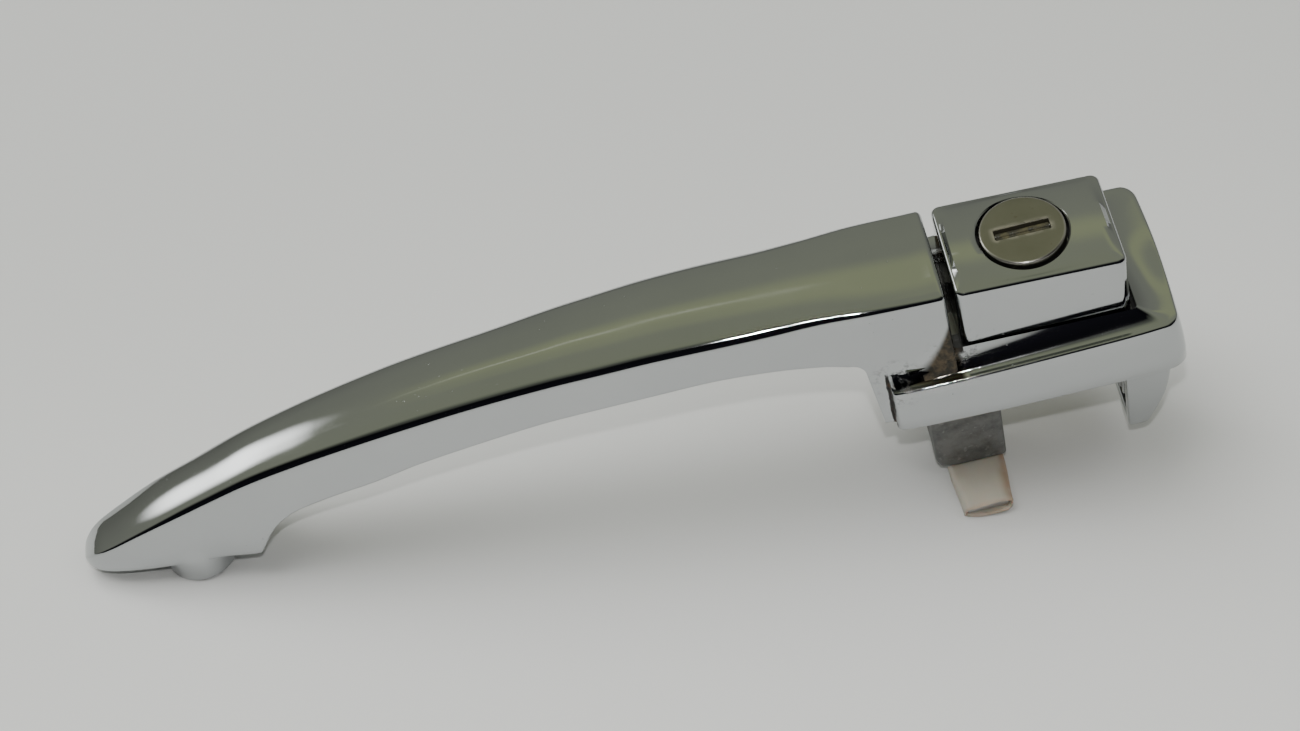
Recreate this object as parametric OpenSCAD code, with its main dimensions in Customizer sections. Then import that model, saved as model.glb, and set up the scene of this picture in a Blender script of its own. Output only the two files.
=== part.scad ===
// Outside pull handle of a car door, with a push button that holds the key lock.
// X runs along the handle from the front foot to the rear base, Y runs across it
// and Z points out of the door.
// The origin is the axis of the front fixing hole where it crosses the door skin.

/* [Layout] */
// Distance from the front fixing hole to the lock's axis
lock_x = 166; // [164:0.5:168]
// How far the push button travels
travel = 4.5; // [3:0.5:5]

/* [Grip] */
// Length of the grip in front of the front fixing hole
nose_len = 21.5; // [20:0.5:23]
// Half of the grip's width beside the button
grip_end_half = 11; // [10.5:0.25:11.25]
// Radius of the ridge between the crown and the side
ridge_r = 1.1; // [0.6:0.1:1.4]
// How much each side spreads for each millimetre downwards
side_draft = 0.06; // [0:0.01:0.08]
// Sections along the grip
sections = 56; // [30:2:70]

/* [Base] */
// Length of the base's skirt
skirt_len = 56; // [55:0.5:57]
// Half of the base's width at its middle
base_half = 15.8; // [15.6:0.1:16.4]
// Half of the base's width at its rear end
base_end_half = 15.0; // [13:0.1:15.4]
// How much wider the base is on its back side
back_share = 1.24; // [1:0.02:1.26]
// Height of the skirt's side above the door
skirt_h = 11.3; // [10:0.1:12]
// Wall of the skirt
wall = 2.9; // [2.5:0.1:3.2]

/* [Button] */
// Length of the button's block
block_len = 31.6; // [31:0.1:32]
// Half of the block's width
block_half = 11.2; // [10.8:0.1:11.3]
// Height of the block's long edges above the door
block_edge_z = 30; // [29:0.1:31]
// Rise of the crown over the long edges
block_crown = 1; // [0.5:0.1:1.2]
// Gap between the button and the sides of its well
well_gap = 0.3; // [0.25:0.05:0.4]

/* [Lock] */
// Radius of the lock plug's face
plug_head_r = 8; // [7.5:0.1:8.2]
// Radius of the plug inside the barrel
plug_r = 6.5; // [6:0.1:6.6]
// Height of the plug's face above the door
plug_face_z = 31.7; // [31.5:0.1:32]
// Clearance of turning fits
running_gap = 0.05; // [0.02:0.01:0.08]
// Length of the keyway
keyway_len = 10.4; // [9:0.1:10.6]
// Width of the keyway
keyway_w = 2.3; // [2:0.1:2.4]

/* [Plunger] */
// Length of the plunger's stem along the handle
stem_len = 14.2; // [14:0.1:14.6]
// Width of the stem across the handle
stem_w = 14; // [13:0.5:14]
// Depth of the stem's end below the door skin
stem_depth = 23.6; // [20:0.2:25]
// Reach of the tongue from the spindle's axis
tongue_reach = 17; // [15:0.5:18]

/* [Fixings] */
// Radius of the M6 thread's core
m6_core_r = 2.5; // [2.4:0.05:2.6]
// Radius of the boss under the front foot
boss_r = 6.2; // [6:0.1:6.5]
// Height of the boss under the front foot
boss_h = 5.3; // [4:0.1:6]
// Depth of the hook leg below the door skin
leg_depth = 23.2; // [22:0.2:24]
// Half of the hook leg's width
leg_half = 9.5; // [9:0.1:10]

/* [Hidden] */
$fn = 48;
grip_end_x = lock_x - 16.8;
well_x0 = grip_end_x;
well_x1 = lock_x + 17.6;
foot_end_x = 13;
column_x = lock_x - 32.4;
skirt_x0 = lock_x - 29.4;
skirt_x1 = skirt_x0 + skirt_len;
ledge_z = 14.2;
carrier_top = 13.6;
carrier_bottom = 8;
carrier_half = 12.2;
cavity_half = 12.6;
cavity_x0 = lock_x - 26.6;
cavity_x1 = lock_x + 19.3;
plate_z = 1.4;
plate_t = 1.3;
pad_h = 0.6;
barrel_r = 9;
barrel_z0 = 16.2;
barrel_z1 = 27;
head_z0 = barrel_z1 + 0.3;
tail_r = 3;
hinge_y = 0.55;
crank_r = 4.2;
crank_pin_r = 1.2;
spindle_x = lock_x - 15.5;
spindle_y = -2;
spindle_r = 2.5;
stem_x0 = lock_x - 23.8;
stem_y0 = -9;
carrier_x0 = stem_x0;
carrier_x1 = lock_x + 18;
spring_x = lock_x + 12.4;
spring_r = 3.6;
spring_wire = 0.8;
spring_turns = 5;
wafer_z = [17.6, 19.8, 22, 24.2];
wafer_t = 1;
wafer_w = 7;
nut_x = lock_x + 14.7;
nut_z = -12;
nut_size = 9;
nut_t = 4;
screw_places = [[-7.1, 9.3], [-7.1, -9.3], [10.5, 9], [10.5, -9]];
screw_r = 1.25;
plate_screw_x = lock_x - 29;
plate_screw_y = 5.5;
rest_angle = 45;

// Outlines of the grip: [place along X, value], joined by a smooth curve
ridge_line = [[-nose_len, 3.2], [-14.5, 7.3], [-4.5, 11.7], [15, 18.2], [40, 23.5],
              [70, 27.7], [105, 29.9], [150, 30.4]];
crown_line = [[-nose_len, 0.6], [-4.5, 1.4], [20, 2.7], [60, 3.4], [100, 3], [130, 1.9], [150, 1.1]];
half_line = [[-nose_len, 4], [-4.5, 5.7], [15, 6.75], [45, 8.1], [75, 9], [110, 10.1],
             [150, grip_end_half]];
arch_line = [[foot_end_x, 0.8], [15.8, 4.4], [18.5, 7.2], [22.2, 9.3], [30.6, 11.7], [48, 16],
             [70, 19.6], [95, 21.6], [110, 21.5], [124, 19.3], [131, 17.4], [150, 12]];

// Slope of a smooth curve at its point i, level with its neighbours
function slope(line, i) =
    let (a = max(i - 1, 0), b = min(i + 1, len(line) - 1))
    (line[b][1] - line[a][1]) / (line[b][0] - line[a][0]);

// Which span of the curve holds x
function span(line, x, i = 0) = i >= len(line) - 2 || x < line[i + 1][0] ? i : span(line, x, i + 1);

// Height of the smooth curve at x
function along(line, x) =
    let (i = span(line, x), p = line[i], q = line[i + 1], w = q[0] - p[0], t = (x - p[0]) / w)
    (2 * t^3 - 3 * t^2 + 1) * p[1] + (t^3 - 2 * t^2 + t) * w * slope(line, i)
    + (3 * t^2 - 2 * t^3) * q[1] + (t^3 - t^2) * w * slope(line, i + 1);

// The nose is round in plan over its first few millimetres
function nose(x) = let (t = min((x + nose_len) / 7, 1)) sqrt(max(1 - (1 - t)^2, 0.012));
function grip_half(x) = along(half_line, x) * nose(x);
function grip_low(x) = x <= foot_end_x ? 0 : along(arch_line, x);

// One section of the grip as points, from its lower front edge over the crown
function grip_section(x) =
    let (w = grip_half(x), z = along(ridge_line, x), low = grip_low(x), crown = along(crown_line, x),
         r = min(ridge_r, w * 0.4), foot = w + side_draft * (z - low), edge = 0.5,
         top = [for (k = [-4 : 4]) let (y = k / 4 * (w - r * 0.7)) [y, z + crown * (1 - (y / w)^2)]],
         front = [[-foot + edge, low], [-foot, low + edge], [-w, z - r], [-w + r * 0.15, z - r * 0.35]],
         back = [for (k = [3 : -1 : 0]) [-front[k][0], front[k][1]]])
    concat(front, top, back);

// Places of the sections: close together over the nose, then even
function grip_places() = concat(
    [for (k = [0 : 7]) -nose_len + 7 * (k / 8)^2],
    [for (k = [0 : 8]) -nose_len + 7 + (foot_end_x + nose_len - 7) * k / 8],
    [for (k = [0 : sections]) foot_end_x + 0.15 + (grip_end_x - foot_end_x - 0.15) * k / sections]
);

// A closed skin over sections that all have the same number of points
module loft(places, loops) {
    n = len(loops[0]);
    points = [for (i = [0 : len(places) - 1]) for (p = loops[i]) [places[i], p[0], p[1]]];
    sides = [for (i = [0 : len(places) - 2]) for (k = [0 : n - 1])
        let (m = (k + 1) % n) each [[i * n + k, i * n + m, (i + 1) * n + m],
                                    [i * n + k, (i + 1) * n + m, (i + 1) * n + k]]];
    ends = [[for (k = [n - 1 : -1 : 0]) k], [for (k = [0 : n - 1]) (len(places) - 1) * n + k]];
    polyhedron(points = points, faces = concat(sides, ends));
}

module grip() {
    places = grip_places();
    loft(places, [for (x = places) grip_section(x)]);
}

// The grip's end runs down to the door skin as a column, with a round inner corner
module column() {
    corner_r = 4;
    intersection() {
        translate([0, 20, 0]) rotate([90, 0, 0]) linear_extrude(40)
            polygon(concat([[grip_end_x, 0], [column_x + 1.6, 0], [column_x, ledge_z]],
                [for (a = [0 : 15 : 90]) [column_x - corner_r + corner_r * cos(a), ledge_z + corner_r * sin(a)]],
                [[column_x - corner_r - 2, 26], [grip_end_x, 27]]));
        translate([column_x - 8, -11.4, -1]) cube([grip_end_x - column_x + 8, 22.8, 30]);
    }
}

// Half width of the base's skirt at x, widest at the lock and narrower to the rear
function skirt_half(x) = let (t = (x - lock_x) / (skirt_x1 - lock_x))
    t > 0 ? base_half - (base_half - base_end_half) * t^2 : base_half - 0.9 * t^2;

// Outline of the base seen from above, drawn in by inset
module skirt_outline(inset = 0) {
    corner = 2.2;
    bow = 2;
    n = 12;
    side = [for (k = [0 : n]) let (x = skirt_x0 + corner + (skirt_len - bow - 2 * corner) * k / n)
        [x, skirt_half(x) - inset]];
    reach = skirt_half(skirt_x1) - corner - inset;
    end = [for (k = [4 : -1 : 0]) let (t = k / 4) [skirt_x1 - inset - bow * t^2, reach * t]];
    half = concat([[skirt_x0 + inset, skirt_half(skirt_x0) - corner - inset]], side, end);
    front = [for (k = [len(half) - 2 : -1 : 0]) [half[k][0], -half[k][1]]];
    back = [for (p = half) [p[0], p[1] * back_share]];
    polygon(concat(back, front));
}

// The base's outer form: upright sides, then a shelf that slopes up to the button
module base_form() {
    hull() {
        linear_extrude(skirt_h - 1) skirt_outline();
        linear_extrude(skirt_h) skirt_outline(0.6);
        translate([lock_x - 21, -block_half - 0.9, 15.4]) cube([8, 2 * block_half + 1.8, 0.8]);
        translate([lock_x + 10, -block_half - 0.9, 14.6]) cube([9, 2 * block_half + 1.8, 0.8]);
        translate([lock_x + 10, -block_half + 0.4, 13.6]) cube([13.4, 2 * block_half + 3.4, 0.8]);
    }
}

// Side view of the hook leg, drawn in by inset on all but its open side
module leg_outline(inset = 0) {
    x0 = lock_x + 15;
    polygon([[x0, 2], [x0, -leg_depth + inset + 1], [x0 + 1, -leg_depth + inset],
             [lock_x + 18.6 - inset, -leg_depth + inset], [lock_x + 20.8 - inset, -leg_depth + 3.4],
             [lock_x + 24 - inset, -7.5], [lock_x + 25 - inset, 2]]);
}

module leg() {
    leg_wall = 2;
    difference() {
        translate([0, leg_half, 0]) rotate([90, 0, 0]) linear_extrude(2 * leg_half) leg_outline();
        translate([-0.5, leg_half - leg_wall, 0]) rotate([90, 0, 0])
            linear_extrude(2 * (leg_half - leg_wall)) leg_outline(leg_wall + 0.4);
    }
    for (s = [-1, 1]) translate([lock_x + 15, s * (nut_size / 2 + 0.8) - 0.6, nut_z - 5])
        cube([5.2, 1.2, 10]);
}

module handle_body() color("silver") difference() {
    union() {
        grip();
        column();
        base_form();
        leg();
        translate([0, 0, -boss_h]) cylinder(h = boss_h + 2, r = boss_r);
    }
    // well for the button, open at the top
    translate([well_x0, -block_half - well_gap, carrier_bottom])
        cube([well_x1 - well_x0, 2 * (block_half + well_gap), 30]);
    // cavity under it for the plunger carrier, open at the door skin
    translate([cavity_x0, -cavity_half, -1])
        cube([lock_x + 14 - cavity_x0, 2 * cavity_half, ledge_z + 1]);
    translate([lock_x + 13, -cavity_half, 1.8])
        cube([cavity_x1 - lock_x - 13, 2 * cavity_half, ledge_z - 1.8]);
    translate([lock_x + 13, -leg_half + 2, -1])
        cube([cavity_x1 - lock_x - 13, 2 * leg_half - 4, 4]);
    // seat and slot of the retainer plate
    translate([lock_x - 31, -8.2, -1]) cube([6, 16.4, 1 + plate_z + plate_t]);
    translate([cavity_x1 - 1, -4.2, plate_z - 0.1]) cube([3.6, 8.4, plate_t + 0.2]);
    for (s = [-1, 1]) translate([plate_screw_x, s * plate_screw_y, 0]) cylinder(h = 9, r = screw_r);
    // front insert and rear fixing
    translate([0, 0, -boss_h - 1]) cylinder(h = 11.5, r = 4);
    translate([lock_x + 17, 0, nut_z]) rotate([0, 90, 0]) cylinder(h = 12, r = 3.3);
}

module front_insert() color("dimgray") translate([0, 0, -boss_h]) difference() {
    cylinder(h = 10.5, r = 4);
    translate([0, 0, -1]) cylinder(h = 12.5, r = m6_core_r);
}

module leg_nut() color("dimgray") difference() {
    translate([nut_x, -nut_size / 2, nut_z - nut_size / 2]) cube([nut_t, nut_size, nut_size]);
    translate([nut_x - 1, 0, nut_z]) rotate([0, 90, 0]) cylinder(h = nut_t + 2, r = m6_core_r);
}

module retainer_plate() color("goldenrod") difference() {
    union() {
        translate([cavity_x0 + 0.2, -cavity_half + 0.2, plate_z])
            cube([lock_x + 13.8 - cavity_x0 - 0.2, 2 * cavity_half - 0.4, plate_t]);
        translate([lock_x - 30.9, -8, plate_z]) cube([6, 16, plate_t]);
        translate([lock_x + 12, -4, plate_z]) cube([9.6, 8, plate_t]);
    }
    translate([stem_x0 - 0.7, stem_y0 - 0.7, -1]) cube([stem_len + 1.4, stem_w + 1.4, 6]);
    for (s = [-1, 1]) translate([plate_screw_x, s * plate_screw_y, -1]) cylinder(h = 6, r = screw_r);
}

// Cheese-headed screw: thread upwards from the origin, slotted head below it
module screw(thread_len, head_r = 2.2, head_h = 1.2) {
    cylinder(h = thread_len, r = screw_r);
    difference() {
        translate([0, 0, -head_h]) cylinder(h = head_h, r = head_r);
        translate([-head_r, -0.3, -head_h - 0.1]) cube([2 * head_r, 0.6, 0.7]);
    }
}

module retainer_screws() color("dimgray") for (s = [-1, 1])
    translate([plate_screw_x, s * plate_screw_y, plate_z]) screw(7.4);

module bump_pads() color("black") for (s = [-1, 1])
    translate([lock_x - 1, s * 8.2, plate_z + plate_t]) cylinder(h = pad_h, r = 3);

// The block's form: upright ends with a little draft, and a crowned top
module block_form() {
    steps = 8;
    rise = 2 * block_edge_z;
    translate([lock_x - block_len / 2 + 0.9, 0, 0]) rotate([90, 0, 90]) linear_extrude(block_len)
        polygon(concat([[block_half, carrier_top], [-block_half, carrier_top]],
            [for (k = [-steps : steps]) let (y = k / steps * block_half)
                [y, block_edge_z + block_crown * (1 - (y / block_half)^2)]]));
}

module push_button() color("silver") difference() {
    block_form();
    translate([lock_x, 0, barrel_z0]) cylinder(h = barrel_z1 - barrel_z0, r = barrel_r);
    translate([lock_x, 0, barrel_z1 - 0.1]) cylinder(h = 10, r = plug_head_r + 0.9);
    translate([lock_x, 0, 10]) cylinder(h = 10, r = 7.8);
    for (p = screw_places) translate([lock_x + p[0], p[1], 10]) cylinder(h = 9.5, r = screw_r);
}

module button_seal() color("black") difference() {
    translate([lock_x - 14, -carrier_half, carrier_top]) cube([31.9, 2 * carrier_half, 0.5]);
    translate([lock_x - 20, -block_half - 0.05, 10]) cube([37.1, 2 * block_half + 0.1, 8]);
}

module lock_barrel() color("gray") difference() {
    translate([lock_x, 0, barrel_z0]) cylinder(h = barrel_z1 - barrel_z0, r = barrel_r);
    translate([lock_x, 0, barrel_z0 - 1]) cylinder(h = 14, r = plug_r + running_gap);
    // grooves that the wafers drop into with the key out, a quarter turn apart
    for (a = [0, 90]) translate([lock_x, 0, wafer_z[0] - 1]) rotate(a)
        translate([-7.8, -wafer_w / 2 - 0.4, 0]) cube([15.6, wafer_w + 0.8, 9]);
}

module plug_seal() color("black") translate([lock_x, 0, barrel_z1 - 0.1]) rotate_extrude()
    translate([plug_head_r + 0.42, 0.55]) circle(r = 0.35, $fn = 24);

module keyway(len, width, z0, z1) {
    translate([lock_x - len / 2, -width / 2, z0]) cube([len, width, z1 - z0]);
}

module lock_plug() color("darkkhaki") difference() {
    union() {
        translate([lock_x, 0, head_z0]) cylinder(h = plug_face_z - head_z0, r = plug_head_r);
        translate([lock_x, 0, barrel_z0]) cylinder(h = head_z0 - barrel_z0, r = plug_r);
        translate([lock_x, 0, carrier_top - 0.2]) cylinder(h = barrel_z0 - carrier_top + 0.2, r = tail_r);
    }
    keyway(keyway_len, keyway_w, 28.4, 40);
    keyway(9, 2, 17, 30);
    for (z = wafer_z) translate([lock_x, 0, z - 0.1]) {
        translate([-7, -wafer_w / 2 - 0.1, 0]) cube([14, wafer_w + 0.2, wafer_t + 0.2]);
        translate([-1.6, -5.4, 0]) cube([3.2, 3, wafer_t + 0.2]);
    }
    // hole of the shutter's pin, with a pocket for its spring
    translate([lock_x - 6.6, hinge_y, 30.3]) rotate([0, 90, 0]) cylinder(h = 12.4, r = 0.35);
    translate([lock_x + 5.1, hinge_y, 30.3]) rotate([0, 90, 0]) cylinder(h = 1.5, r = 0.95);
    // groove of the clip
    translate([lock_x, 0, 15.2]) rotate_extrude() translate([2.5, 0]) square([2, 0.8]);
    for (k = [0 : 3]) let (s = k % 2 == 0 ? 1 : -1)
        translate([lock_x, -4.7, wafer_z[k] + 0.5]) rotate([0, s * 90, 0]) cylinder(h = 3.5, r = 0.6);
}

module keyway_shutter() color("khaki") difference() {
    union() {
        translate([lock_x - 5, -1.05, 30.1]) cube([10, 1.4, 0.4]);
        translate([lock_x - 5, hinge_y, 30.3]) rotate([0, 90, 0]) cylinder(h = 10, r = 0.55);
    }
    translate([lock_x - 6, hinge_y, 30.3]) rotate([0, 90, 0]) cylinder(h = 12, r = 0.37);
}

module shutter_pin() color("silver") translate([lock_x - 6.5, hinge_y, 30.3]) rotate([0, 90, 0])
    cylinder(h = 12.2, r = 0.34);

module shutter_spring() color("silver") translate([lock_x + 5.2, hinge_y, 30.3]) rotate([0, 90, 0])
    for (k = [0 : 2]) translate([0, 0, 0.2 + 0.4 * k]) rotate_extrude() translate([0.6, 0]) circle(r = 0.17, $fn = 16);

// A wafer fills its slot in the plug and has a window for the key
module wafer(z) {
    difference() {
        intersection() {
            translate([lock_x, 0, z]) union() {
                translate([-7, -wafer_w / 2, 0]) cube([14, wafer_w, wafer_t]);
                translate([-0.6, -5.3, 0]) cube([1.2, 3, wafer_t]);
            }
            translate([lock_x, 0, z - 1]) cylinder(h = 4, r = plug_r - 0.15);
        }
        translate([lock_x - 4, -1.2, z - 1]) cube([8, 2.4, 4]);
    }
}

module wafers_left() color("goldenrod") for (k = [0, 2]) wafer(wafer_z[k]);
module wafers_right() color("goldenrod") for (k = [1, 3]) wafer(wafer_z[k]);

module wafer_springs() color("silver") for (k = [0 : 3]) let (s = k % 2 == 0 ? 1 : -1)
    translate([lock_x, -4.7, wafer_z[k] + 0.5]) rotate([0, s * 90, 0])
        for (j = [0 : 4]) translate([0, 0, 0.85 + 0.6 * j]) rotate_extrude() translate([0.38, 0])
            circle(r = 0.12, $fn = 16);

module plug_clip() color("dimgray") translate([lock_x, 0, 15.2]) difference() {
    cylinder(h = 0.7, r = 7.3);
    translate([0, 0, -1]) cylinder(h = 3, r = 2.5);
    translate([0, -1.9, -1]) cube([9, 3.8, 3]);
}

// A crank arm with its pin, seen from the shaft it is fixed to
module crank(arm_t, pin_z, pin_h) {
    hull() {
        cylinder(h = arm_t, r = 3.2, $fn = 32);
        translate([crank_r, 0, 0]) cylinder(h = arm_t, r = 2, $fn = 32);
    }
    translate([crank_r, 0, pin_z]) cylinder(h = pin_h, r = crank_pin_r);
}

module lock_crank() color("gray") translate([lock_x, 0, 12.1]) rotate(rest_angle) crank(1.3, -1.5, 1.6);

module lock_link() color("silver") translate([lock_x, 0, 0]) rotate(rest_angle) translate([crank_r, 0, 10.8])
    rotate(-rest_angle) difference() {
        union() {
            cylinder(h = 1.2, r = 2);
            translate([spindle_x - lock_x, spindle_y, 0]) cylinder(h = 1.2, r = 2);
            rotate(atan2(spindle_y, spindle_x - lock_x)) translate([0, -1.6, 0])
                cube([norm([spindle_x - lock_x, spindle_y]), 3.2, 1.2]);
        }
        translate([0, 0, -1]) cylinder(h = 4, r = crank_pin_r + running_gap);
        translate([spindle_x - lock_x, spindle_y, -1]) cylinder(h = 4, r = crank_pin_r + 0.3);
    }

module plunger_carrier() color("gray") difference() {
    union() {
        translate([carrier_x0, -carrier_half, carrier_bottom])
            cube([carrier_x1 - carrier_x0, 2 * carrier_half, carrier_top - carrier_bottom]);
        translate([stem_x0, stem_y0, -stem_depth]) cube([stem_len, stem_w, stem_depth + carrier_bottom]);
    }
    // pocket of the cranks and the link
    translate([lock_x - 22, -6, 9.3]) cube([28.6, 12.6, 10]);
    translate([spindle_x, spindle_y, -stem_depth - 1]) cylinder(h = 40, r = spindle_r + running_gap);
    translate([spring_x, 0, carrier_bottom - 1]) cylinder(h = 5.8, r = spring_r + 0.9);
    for (p = screw_places) translate([lock_x + p[0], p[1], carrier_bottom - 1]) {
        cylinder(h = 10, r = screw_r);
        cylinder(h = 2.6, r = 2.4);
    }
}

module carrier_screws() color("dimgray") for (p = screw_places)
    translate([lock_x + p[0], p[1], carrier_bottom + 1.6]) screw(9);

module tongue_spindle() color("silver") translate([spindle_x, spindle_y, 0]) {
    translate([0, 0, -stem_depth - 3.4]) cylinder(h = stem_depth + 3.4 + 9.5, r = spindle_r);
    translate([0, 0, 9.4]) rotate(rest_angle) crank(1.2, 1.1, 1.5);
}

module tongue_blade() color("gray") translate([spindle_x, spindle_y, -stem_depth - 3]) difference() {
    union() {
        cylinder(h = 2.6, r = 4.4);
        translate([-4, -tongue_reach + 0.8, 0]) cube([8, tongue_reach - 0.8, 1.6]);
    }
    translate([0, 0, -1]) cylinder(h = 4, r = spindle_r);
}

// Flattened tube of soft plastic over the tongue, open at both ends
module tongue_sleeve() color("linen") translate([spindle_x, spindle_y - tongue_reach, -stem_depth - 2.2]) {
    sleeve_len = 11.6;
    rotate([-90, 0, 0]) linear_extrude(sleeve_len) difference() {
        union() {
            square([7.4, 3.8], center = true);
            for (s = [-1, 1]) translate([s * 3.7, 0]) circle(r = 1.9);
        }
        union() {
            square([7.4, 2.2], center = true);
            for (s = [-1, 1]) translate([s * 3.7, 0]) circle(r = 1.1);
        }
    }
}

module return_spring() color("silver") {
    z0 = plate_z + plate_t + spring_wire / 2 + 0.02;
    z1 = carrier_bottom + 4.8 - spring_wire / 2 - 0.02;
    steps = 18;
    n = steps * spring_turns;
    loops = [for (i = [0 : n]) let (a = 360 * i / steps, z = z0 + (z1 - z0) * i / n)
        [for (k = [0 : 7]) let (b = 45 * k)
            [(spring_r + spring_wire / 2 * cos(b)) * cos(a), (spring_r + spring_wire / 2 * cos(b)) * sin(a),
             z + spring_wire / 2 * sin(b)]]];
    sides = [for (i = [0 : n - 1]) for (k = [0 : 7]) let (m = (k + 1) % 8)
        each [[i * 8 + k, i * 8 + m, i * 8 + 8 + m], [i * 8 + k, i * 8 + 8 + m, i * 8 + 8 + k]]];
    translate([spring_x, 0, 0]) polyhedron(points = [for (l = loops) each l],
        faces = concat(sides, [[for (k = [7 : -1 : 0]) k], [for (k = [0 : 7]) n * 8 + k]]));
}

handle_body();
front_insert();
leg_nut();
retainer_plate();
retainer_screws();
bump_pads();
push_button();
button_seal();
lock_barrel();
plug_seal();
lock_plug();
keyway_shutter();
shutter_pin();
shutter_spring();
wafers_left();
wafers_right();
wafer_springs();
plug_clip();
lock_crank();
lock_link();
plunger_carrier();
carrier_screws();
tongue_spindle();
tongue_blade();
tongue_sleeve();
return_spring();
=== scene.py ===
import math
import bpy
from mathutils import Matrix, Vector


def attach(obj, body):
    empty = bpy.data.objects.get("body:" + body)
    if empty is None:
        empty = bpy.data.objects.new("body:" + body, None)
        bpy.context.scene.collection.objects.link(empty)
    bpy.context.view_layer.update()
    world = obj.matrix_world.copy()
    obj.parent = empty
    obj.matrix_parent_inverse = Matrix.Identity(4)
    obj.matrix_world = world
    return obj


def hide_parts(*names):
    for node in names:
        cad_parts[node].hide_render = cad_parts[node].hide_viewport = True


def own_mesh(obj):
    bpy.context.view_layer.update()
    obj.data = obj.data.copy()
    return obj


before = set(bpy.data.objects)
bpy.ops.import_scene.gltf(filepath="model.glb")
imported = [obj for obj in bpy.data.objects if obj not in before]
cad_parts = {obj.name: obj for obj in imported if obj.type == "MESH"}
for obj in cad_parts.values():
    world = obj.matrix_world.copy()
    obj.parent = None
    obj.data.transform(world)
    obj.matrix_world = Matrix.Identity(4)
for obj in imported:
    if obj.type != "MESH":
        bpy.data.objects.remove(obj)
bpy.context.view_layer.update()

mm = 0.001
lockX = 166.0


# small tools

def deselectAll():
    if bpy.context.object and bpy.context.object.mode != "OBJECT":
        bpy.ops.object.mode_set(mode="OBJECT")
    bpy.ops.object.select_all(action="DESELECT")


def pick(obj):
    deselectAll()
    obj.select_set(True)
    bpy.context.view_layer.objects.active = obj


def lerp(a, b, t):
    return a + (b - a) * t


def ease(a, b, x):
    t = max(0.0, min(1.0, (x - a) / (b - a)))
    return t * t * (3 - 2 * t)


def along(line, x):  # smooth curve through [place, value] pairs
    last = len(line) - 1
    i = 0
    while i < last - 1 and x >= line[i + 1][0]:
        i += 1

    def slope(k):
        a, b = max(k - 1, 0), min(k + 1, last)
        return (line[b][1] - line[a][1]) / (line[b][0] - line[a][0])

    (x0, y0), (x1, y1) = line[i], line[i + 1]
    w = x1 - x0
    t = max(0.0, min(1.0, (x - x0) / w))
    return ((2 * t**3 - 3 * t**2 + 1) * y0 + (t**3 - 2 * t**2 + t) * w * slope(i)
            + (3 * t**2 - 2 * t**3) * y1 + (t**3 - t**2) * w * slope(i + 1))


def rectangle(x0, x1, y0, y1):
    return [(x0, y0), (x1, y0), (x1, y1), (x0, y1)]


def cornerLoop(corners, radii, arcSteps, sideSteps):
    # closed outline with rounded corners; the same steps always give as many points
    count = len(corners)
    mostOfSide = 0.48
    arcs = []
    for i in range(count):
        p, a, b = Vector(corners[i]), Vector(corners[i - 1]), Vector(corners[(i + 1) % count])
        inward, outward = (a - p).normalized(), (b - p).normalized()
        half = math.acos(max(-1, min(1, inward.dot(outward)))) / 2
        cut = min(max(radii[i], 1e-3) / math.tan(half),
                  mostOfSide * (a - p).length, mostOfSide * (b - p).length)
        centre = p + (inward + outward).normalized() * (cut / math.cos(half))
        start, end = p + inward * cut, p + outward * cut
        r = (start - centre).length
        a0 = math.atan2(start.y - centre.y, start.x - centre.x)
        turn = math.atan2(end.y - centre.y, end.x - centre.x) - a0
        turn = (turn + math.pi) % (2 * math.pi) - math.pi
        angles = [a0 + turn * k / arcSteps for k in range(arcSteps + 1)]
        arcs.append([centre + Vector((math.cos(t), math.sin(t))) * r for t in angles])
    points = []
    for i in range(count):
        points += arcs[i]
        nxt = arcs[(i + 1) % count][0]
        points += [arcs[i][-1].lerp(nxt, k / sideSteps[i]) for k in range(1, sideSteps[i])]
    return points


def stack(name, rings, closed=False):
    # a circle drawn out ring by ring, then each ring is brought to its own outline
    deselectAll()
    n = len(rings[0])
    top = len(rings) - 1
    bpy.ops.mesh.primitive_circle_add(vertices=n, radius=1)
    obj = bpy.context.object
    obj.name = obj.data.name = name
    bpy.ops.object.mode_set(mode="EDIT")
    bpy.ops.mesh.select_all(action="SELECT")
    for k in range(top):
        bpy.ops.mesh.extrude_region_move(TRANSFORM_OT_translate={"value": (0, 0, 1)})
    bpy.ops.object.mode_set(mode="OBJECT")
    mesh = obj.data
    levels = {}
    for v in mesh.vertices:
        level = round(v.co.z)
        place = round(math.atan2(v.co.y, v.co.x) / (2 * math.pi / n)) % n
        levels[v.index] = level
        p = rings[level][place]
        v.co = (p[0] * mm, p[1] * mm, p[2] * mm)

    def pickEdges(wanted):
        bpy.ops.object.mode_set(mode="EDIT")
        bpy.ops.mesh.select_mode(type="EDGE")
        bpy.ops.mesh.select_all(action="DESELECT")
        bpy.ops.object.mode_set(mode="OBJECT")
        for e in mesh.edges:
            e.select = {levels[v] for v in e.vertices} in wanted
        bpy.ops.object.mode_set(mode="EDIT")

    if closed:
        pickEdges([{0}, {top}])
        bpy.ops.mesh.bridge_edge_loops()
    else:
        for level in (0, top):
            pickEdges([{level}])
            bpy.ops.mesh.edge_face_add()
    bpy.ops.mesh.select_all(action="SELECT")
    bpy.ops.mesh.normals_make_consistent(inside=False)
    bpy.ops.object.mode_set(mode="OBJECT")
    return obj


def circle(cx, cy, r, n):
    angles = [2 * math.pi * k / n for k in range(n)]
    return [Vector((cx + r * math.cos(a), cy + r * math.sin(a))) for a in angles]


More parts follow.
